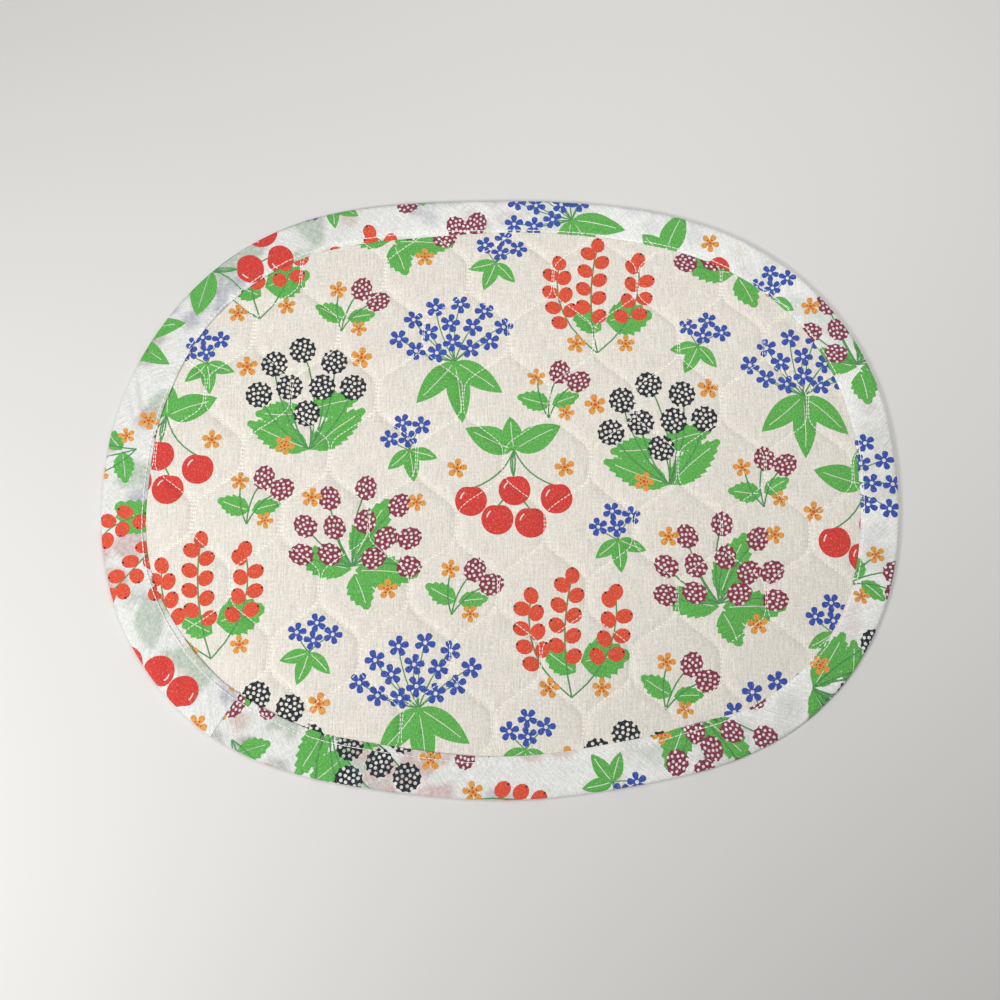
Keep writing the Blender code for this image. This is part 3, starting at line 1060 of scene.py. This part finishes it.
def cloth_material(name, ground, stitch, gap, see_through=False):
    """Cotton with uneven threads both ways, a print that sinks in unevenly, and rows of stitches."""
    material, tree, shader = new_material(name)
    place = add(tree, "ShaderNodeAttribute", attribute_name="cloth_place").outputs["Vector"]
    ink = add(tree, "ShaderNodeAttribute", attribute_name="ink")
    seam = add(tree, "ShaderNodeAttribute", attribute_name="seam").outputs["Vector"]
    away, along = add(tree, "ShaderNodeSeparateXYZ", {0: seam}).outputs[:2]
    turns = math.tau / ((stitch + gap) * MM)
    beat = maths(tree, "COSINE", maths(tree, "MULTIPLY_ADD", along, turns, -turns * stitch / 2 * MM))
    hole = maths(tree, "POWER", maths(tree, "MULTIPLY_ADD", beat, -0.5, 0.5), 3.0)
    hole = product(tree, hole, falling_off(tree, away, HOLE_REACH), -HOLE_SHADE)

    runs = (WARP, WEFT, SLUBS, CROSS_SLUBS, SPECKLE)
    warp, weft, slubs, cross_slubs, speckle = [noise(tree, place, *run) for run in runs]
    tones = (
        swing(tree, warp, WARP_TONE),
        swing(tree, weft, WEFT_TONE),
        swing(tree, slubs, WARP_SLUB_TONE),
        swing(tree, cross_slubs, WEFT_SLUB_TONE),
        swing(tree, speckle, GRAIN_TONE),
        swing(tree, noise(tree, place, *CLOUDS), 0.06),
        maths(tree, "ADD", hole, 1.0),
        # painted highlight: the cloth beside a row of stitches is painted lighter, as if its crimps caught
        # the light
        maths(tree, "MULTIPLY_ADD", falling_off(tree, away, SEAM_HIGHLIGHT_REACH), SEAM_HIGHLIGHT, 1.0),
    )
    if see_through:
        beneath = add(tree, "ShaderNodeAttribute", attribute_name="show_through").outputs
        clouds = swing(tree, noise(tree, place, *BENEATH_CLOUDS), 1.2)
        strength = product(tree, beneath["Alpha"], clouds)
        ground = mixed(tree, strength, (*ground, 1.0), beneath["Color"])
    colour = scaled(tree, ground, product(tree, *tones))
    depth = product(tree, swing(tree, speckle, INK_MOTTLE), swing(tree, warp, 0.6))
    printed_colour = scaled(tree, ink.outputs["Color"], depth)
    proud = maths(tree, "MAXIMUM", warp, weft)
    taken = maths(tree, "MULTIPLY_ADD", proud, -INK_MISSES, 1 + 0.6 * INK_MISSES, clamp=True)
    cover = product(tree, ink.outputs["Alpha"], taken)
    tree.links.new(mixed(tree, cover, colour, printed_colour), shader.inputs["Base Color"])
    tree.links.new(maths(tree, "MULTIPLY_ADD", speckle, 0.12, 0.84), shader.inputs["Roughness"])
    shader.inputs["Sheen Weight"].default_value = 0.12
    shader.inputs["Sheen Roughness"].default_value = 0.5
    shader.inputs["Specular IOR Level"].default_value = 0.25

    cloth = total(tree, warp, weft, slubs, cross_slubs, product(tree, plain_weave(tree, place), 0.25))
    height = total(
        tree,
        product(tree, cloth, WEAVE_HEIGHT),
        product(tree, beat, falling_off(tree, away, STITCH_SWELL_REACH), STITCH_SWELL),
        product(tree, falling_off(tree, away, GROOVE_REACH), -GROOVE),
        product(tree, noise(tree, seam, *TUCK_RUNS), falling_off(tree, away, TUCKS_REACH), TUCKS),
    )
    bump = add(tree, "ShaderNodeBump", {"Height": height, "Strength": 1.0, "Distance": MM})
    tree.links.new(bump.outputs[0], shader.inputs["Normal"])
    return material


def thread_material():
    """Twisted sewing thread."""
    material, tree, shader = new_material("sewing_thread")
    place = add(tree, "ShaderNodeTexCoord").outputs["Object"]
    fibres = noise(tree, place, *FIBRES)
    colour = scaled(tree, THREAD_COLOUR, swing(tree, fibres, 0.3))
    tree.links.new(colour, shader.inputs["Base Color"])
    shader.inputs["Roughness"].default_value = 0.7
    bump = add(tree, "ShaderNodeBump", {"Height": fibres, "Strength": 0.6, "Distance": 0.0001})
    tree.links.new(bump.outputs[0], shader.inputs["Normal"])
    return material


# ---- Camera, floor and light ----


def add_camera():
    """The camera stands over the mat, tilted back a little towards its near side."""
    tilt, turn, distance = math.radians(CAMERA_TILT), math.radians(CAMERA_TURN), CAMERA_DISTANCE * MM
    away = Vector((-math.sin(tilt) * math.sin(turn), -math.sin(tilt) * math.cos(turn), math.cos(tilt)))
    up = Vector((math.sin(turn), math.cos(turn), 0))
    side = up.cross(away).normalized()
    camera = bpy.data.objects.new("camera", bpy.data.cameras.new("camera"))
    camera.data.sensor_width, camera.data.lens = 36.0, LENS
    axes = Matrix((side, away.cross(side), away)).transposed()
    camera.matrix_world = Matrix.Translation(Vector(CAMERA_TARGET) * MM + away * distance) @ axes.to_4x4()
    bpy.context.scene.collection.objects.link(camera)
    bpy.context.scene.camera = camera


def add_floor():
    data = bpy.data.meshes.new("floor")
    corners = [(x * FLOOR_REACH, y * FLOOR_REACH, 0) for x, y in ((-1, -1), (1, -1), (1, 1), (-1, 1))]
    data.from_pydata(corners, [], [(0, 1, 2, 3)])
    floor = bpy.data.objects.new("floor", data)
    floor.location.z = -FLOOR_BELOW * MM
    material, tree, shader = new_material("pale_floor")
    place = add(tree, "ShaderNodeTexCoord").outputs["Object"]
    colour = scaled(tree, FLOOR_COLOUR, swing(tree, noise(tree, place, 3, 3), 0.04))
    tree.links.new(colour, shader.inputs["Base Color"])
    shader.inputs["Roughness"].default_value = 0.85
    data.materials.append(material)
    bpy.context.scene.collection.objects.link(floor)


def add_light(name, position, target, size, power):
    light = bpy.data.lights.new(name, "AREA")
    light.shape, light.size, light.energy = "DISK", size, power
    lamp = bpy.data.objects.new(name, light)
    lamp.location = position
    lamp.visible_camera = False
    lamp.rotation_euler = (Vector(target) - Vector(position)).to_track_quat("-Z", "Y").to_euler()
    bpy.context.scene.collection.objects.link(lamp)


def add_lights():
    for light in LIGHTS:
        add_light(*light)
    world = bpy.data.worlds.new("studio")
    world.use_nodes = True
    background = world.node_tree.nodes["Background"]
    background.inputs["Color"].default_value = (*SKY_COLOUR, 1.0)
    background.inputs["Strength"].default_value = SKY
    bpy.context.scene.world = world
    bpy.context.scene.view_settings.view_transform = "Standard"
    bpy.context.scene.view_settings.look = "None"


def main():
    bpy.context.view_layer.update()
    printed_cotton = cloth_material("printed_cotton", PANEL_GROUND, QUILT_STITCH, QUILT_GAP)
    plain_cotton = cloth_material("plain_cotton", BACK_GROUND, QUILT_STITCH, QUILT_GAP)
    bias_cotton = cloth_material("bias_cotton", BINDING_GROUND, BINDING_STITCH, BINDING_GAP, True)
    thread = thread_material()
    face, back = make_face(printed_cotton), make_back(plain_cotton)
    strip, strip_flat = make_strip(bias_cotton)
    quilting, binding = make_thread(thread)
    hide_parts("quilted_panel")
    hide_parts("quilted_panel")
    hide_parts("edge_binding")
    oval = signed_area(rim_ring()) * MM**2
    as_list(quilting[:1])
    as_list(quilting[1:])
    add_camera()
    add_floor()
    add_lights()
    bpy.context.view_layer.update()


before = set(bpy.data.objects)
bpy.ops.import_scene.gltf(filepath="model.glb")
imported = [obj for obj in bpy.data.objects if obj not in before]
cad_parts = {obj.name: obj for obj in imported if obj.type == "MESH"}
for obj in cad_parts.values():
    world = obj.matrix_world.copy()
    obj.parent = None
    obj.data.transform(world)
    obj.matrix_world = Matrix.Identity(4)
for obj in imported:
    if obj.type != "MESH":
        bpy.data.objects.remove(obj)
main()
